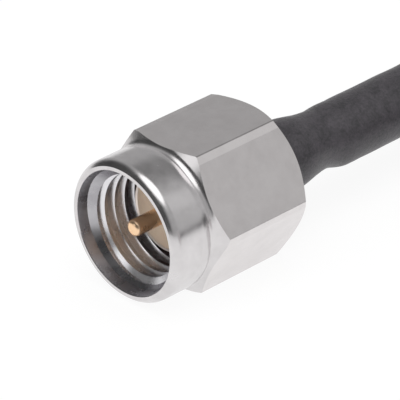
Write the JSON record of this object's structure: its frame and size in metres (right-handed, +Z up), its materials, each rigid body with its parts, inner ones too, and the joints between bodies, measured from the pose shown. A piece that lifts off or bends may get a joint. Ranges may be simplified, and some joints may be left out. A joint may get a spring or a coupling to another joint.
{
  "type": "sma connector",
  "caption": "Straight coaxial screw-on cable plug: spinning hex coupling nut with round threaded sleeve, gold centre pin in a white insulator, heat-shrink sleeve and a thin coiled lead.",
  "frame": {"origin": "on the plug's axis, in the mating plane at the front end of its nose and at the foot of the free centre pin", "axes": "+Z up, the mouth opens towards -Y, the cable leaves towards +Y and the spare cable and far plug lie towards +X"},
  "size_m": [0.0394, 0.0562, 0.008],
  "materials": {
    "nut_steel": "satin turned and milled plated metal",
    "body_metal": "fine turned plated metal",
    "gold_plate": "bright gold plating",
    "spring_bronze": "plain spring alloy",
    "fluoropolymer": "matt, slightly waxy",
    "silicone": "matt moulded rubber",
    "solder": "smooth frozen solder",
    "copper_strand": "twisted strands",
    "dielectric": "smooth translucent plastic",
    "tinned_braid": "fine woven wire",
    "cable_jacket": "satin extruded plastic",
    "shrink_sleeve": "matt shrunk tubing, faintly mottled"
  },
  "bodies": {
    "plug": {"retaining_ring": "spring_bronze", "gasket": "silicone", "connector_body": "body_metal", "front_insulator": "fluoropolymer", "rear_insulator": "fluoropolymer", "centre_contact": "gold_plate", "solder_fillet": "solder", "cable_conductor": "copper_strand", "cable_dielectric": "dielectric", "cable_braid": "tinned_braid", "cable_jacket_end": "cable_jacket", "heat_shrink_sleeve": "shrink_sleeve", "cable_lead_in": "cable_jacket", "cable_coil": "cable_jacket", "cable_lead_out": "cable_jacket", "far_retaining_ring": "spring_bronze", "far_gasket": "silicone", "far_connector_body": "body_metal", "far_front_insulator": "fluoropolymer", "far_rear_insulator": "fluoropolymer", "far_centre_contact": "gold_plate", "far_solder_fillet": "solder", "far_cable_conductor": "copper_strand", "far_cable_dielectric": "dielectric", "far_cable_braid": "tinned_braid", "far_cable_jacket_end": "cable_jacket", "far_heat_shrink_sleeve": "shrink_sleeve"},
    "nut": {"coupling_nut": "nut_steel"},
    "far_nut": {"far_coupling_nut": "nut_steel"}
  },
  "joints": [
    {"name": "nut_spin", "type": "hinge", "parent": "plug", "child": "nut", "pos_m": [0, 0, 0], "axis": [0, -1, 0], "continuous": true},
    {"name": "far_nut_spin", "type": "hinge", "parent": "plug", "child": "far_nut", "pos_m": [0.0302, 0.0017, 0], "axis": [0, -1, 0], "continuous": true}
  ]
}
